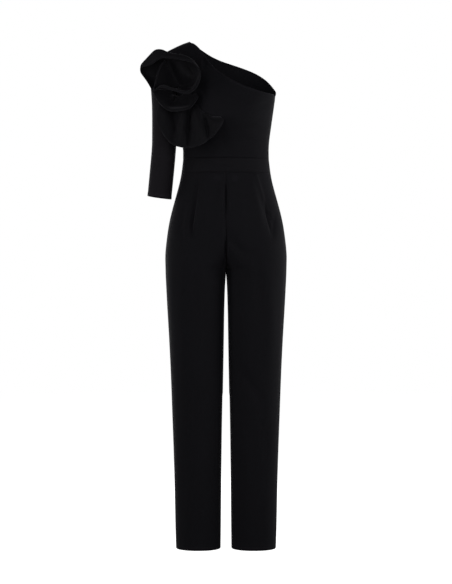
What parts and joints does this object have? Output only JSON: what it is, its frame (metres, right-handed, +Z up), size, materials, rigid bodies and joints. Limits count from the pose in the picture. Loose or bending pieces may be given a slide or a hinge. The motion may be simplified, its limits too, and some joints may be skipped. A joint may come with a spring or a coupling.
{
  "type": "jumpsuit",
  "caption": "Asymmetric jumpsuit with a bare shoulder, a three-quarter sleeve, a large rose frill, a plain waistband and straight long trousers, filled out as worn.",
  "frame": {"origin": "inside of the wearer's right shoulder, under the shoulder seam, where the wearer holds the garment up", "axes": "+Z up, +X to the wearer's left, +Y to the wearer's back; the front faces -Y"},
  "size_m": [0.4378, 0.2922, 1.517],
  "materials": {
    "crepe": "matt black crepe with a soft sheen",
    "band_crepe": "matt black crepe, doubled",
    "frill_crepe": "matt black crepe with some body"
  },
  "bodies": {
    "root": {"bodice_front": "crepe", "bodice_back": "crepe", "sleeve": "crepe", "waistband_front": "band_crepe", "waistband_back": "band_crepe", "trouser_front_right": "crepe", "trouser_front_left": "crepe", "trouser_back_right": "crepe", "trouser_back_left": "crepe", "rose_frill": "frill_crepe", "fan_frill": "frill_crepe"}
  },
  "joints": []
}
